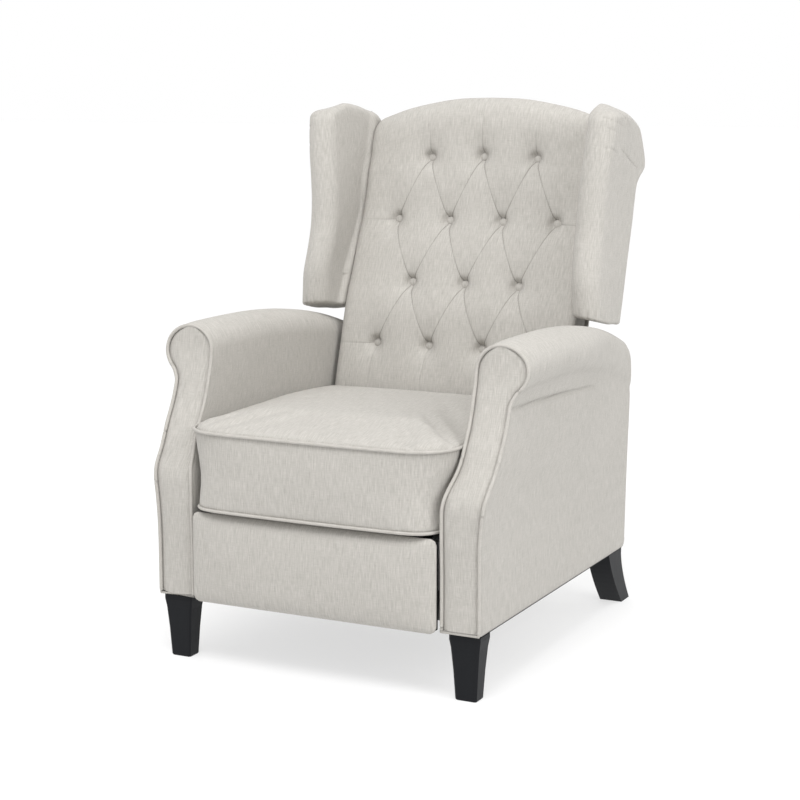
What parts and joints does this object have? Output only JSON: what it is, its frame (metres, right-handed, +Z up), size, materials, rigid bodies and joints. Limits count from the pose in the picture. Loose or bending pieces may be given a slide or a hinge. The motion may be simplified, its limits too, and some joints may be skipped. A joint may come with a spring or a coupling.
{
  "type": "recliner",
  "caption": "Push-back wing recliner with tufted back, scroll arms, loose-look seat cushion, tapered legs and a footrest that unfolds as the seat glides forward",
  "frame": {"origin": "on the floor under the middle of the chair, at the centre of the bounding box seen from above", "axes": "+Z up, the chair faces -Y, +X is the sitter's left"},
  "size_m": [0.7238, 0.8413, 1.01],
  "materials": {
    "linen": "woven linen-look",
    "welt": "woven linen-look",
    "dark_wood": "satin lacquer",
    "frame_wood": "sawn",
    "zinc_steel": "zinc plated",
    "black_steel": "black powder coat"
  },
  "bodies": {
    "base": {"arm_left": "linen", "arm_right": "linen", "arm_piping_left": "welt", "arm_piping_right": "welt", "arm_rail_left": "frame_wood", "arm_rail_right": "frame_wood", "front_leg_left": "dark_wood", "front_leg_right": "dark_wood", "rear_leg_left": "dark_wood", "rear_leg_right": "dark_wood", "leg_bolts": "zinc_steel", "rear_apron": "linen", "base_plate_left": "zinc_steel", "base_plate_right": "zinc_steel", "base_cross_tubes": "black_steel"},
    "front_swing": {"front_swing_left": "zinc_steel", "front_swing_right": "zinc_steel"},
    "rear_swing": {"rear_swing_left": "zinc_steel", "rear_swing_right": "zinc_steel"},
    "seat": {"seat_plate_left": "zinc_steel", "seat_plate_right": "zinc_steel", "seat_cross_tube": "black_steel", "seat_rail_left": "frame_wood", "seat_rail_right": "frame_wood", "seat_rail_front": "frame_wood", "seat_rail_rear": "frame_wood", "seat_springs": "black_steel", "spring_clips": "zinc_steel", "seat_cushion": "linen", "seat_piping_top": "welt", "seat_piping_bottom": "welt"},
    "drive_links": {"drive_link_left": "zinc_steel", "drive_link_right": "zinc_steel"},
    "hanger_links": {"hanger_link_left": "black_steel", "hanger_link_right": "black_steel"},
    "slider_links": {"slider_link_left": "zinc_steel", "slider_link_right": "zinc_steel"},
    "outer_hangers": {"outer_hanger_left": "black_steel", "outer_hanger_right": "black_steel"},
    "reach_links": {"reach_link_left": "zinc_steel", "reach_link_right": "zinc_steel"},
    "tilt_links": {"tilt_link_left": "zinc_steel", "tilt_link_right": "zinc_steel"},
    "footrest": {"footrest_board": "frame_wood", "footrest_pad": "linen", "footrest_bracket_left": "zinc_steel", "footrest_bracket_right": "zinc_steel"},
    "back": {"back_stile_left": "frame_wood", "back_stile_right": "frame_wood", "back_top_rail": "frame_wood", "back_lower_rail": "frame_wood", "inside_back": "linen", "back_buttons": "linen", "outside_back": "linen", "wing_left": "linen", "wing_right": "linen", "back_bracket_left": "zinc_steel", "back_bracket_right": "zinc_steel"}
  },
  "joints": [
    {"name": "seat_swing", "type": "hinge", "parent": "base", "child": "front_swing", "pos_m": [0, -0.20785, 0.13906], "axis": [1, 0, 0], "range_deg": [0, 45]},
    {"name": "rear_swing_hinge", "type": "hinge", "parent": "base", "child": "rear_swing", "pos_m": [0, 0.00215, 0.13906], "axis": [1, 0, 0], "range_deg": [0, 45.01]},
    {"name": "seat_level", "type": "hinge", "parent": "front_swing", "child": "seat", "pos_m": [0, -0.15, 0.208], "axis": [1, 0, 0], "range_deg": [-45.01, 0]},
    {"name": "hanger_hinge", "type": "hinge", "parent": "seat", "child": "hanger_links", "pos_m": [0, -0.32, 0.268], "axis": [1, 0, 0], "range_deg": [-75.01, 0]},
    {"name": "slider_hinge", "type": "hinge", "parent": "hanger_links", "child": "slider_links", "pos_m": [0, -0.33414, 0.20149], "axis": [1, 0, 0], "range_deg": [0, 150.01]},
    {"name": "outer_hanger_hinge", "type": "hinge", "parent": "slider_links", "child": "outer_hangers", "pos_m": [0, -0.33651, 0.26944], "axis": [1, 0, 0], "range_deg": [-150.01, 0]},
    {"name": "reach_hinge", "type": "hinge", "parent": "hanger_links", "child": "reach_links", "pos_m": [0, -0.34828, 0.13497], "axis": [1, 0, 0], "range_deg": [0, 150.01]},
    {"name": "tilt_hinge", "type": "hinge", "parent": "outer_hangers", "child": "tilt_links", "pos_m": [0, -0.36479, 0.13642], "axis": [1, 0, 0], "range_deg": [0, 150.01]},
    {"name": "footrest_hinge", "type": "hinge", "parent": "reach_links", "child": "footrest", "pos_m": [0, -0.35302, 0.27089], "axis": [1, 0, 0], "range_deg": [-150.01, 0]},
    {"name": "drive_hinge", "type": "hinge", "parent": "hanger_links", "child": "drive_links", "pos_m": [0, -0.29933, 0.27552], "axis": [1, 0, 0], "range_deg": [0, 93.29]},
    {"name": "back_recline", "type": "hinge", "parent": "seat", "child": "back", "pos_m": [0, 0.165, 0.262], "axis": [1, 0, 0], "range_deg": [-22, 0]}
  ],
  "couplings": [
    {"joint": "rear_swing_hinge", "follows": "seat_swing", "ratio": 1},
    {"joint": "seat_level", "follows": "seat_swing", "ratio": -1},
    {"joint": "hanger_hinge", "follows": "seat_swing", "ratio": -1.6667},
    {"joint": "slider_hinge", "follows": "seat_swing", "ratio": 3.3333},
    {"joint": "outer_hanger_hinge", "follows": "seat_swing", "ratio": -3.3333},
    {"joint": "reach_hinge", "follows": "seat_swing", "ratio": 3.3333},
    {"joint": "tilt_hinge", "follows": "seat_swing", "ratio": 3.3333},
    {"joint": "footrest_hinge", "follows": "seat_swing", "ratio": -3.3333},
    {"joint": "drive_hinge", "follows": "seat_swing", "ratio": 2.0729}
  ]
}
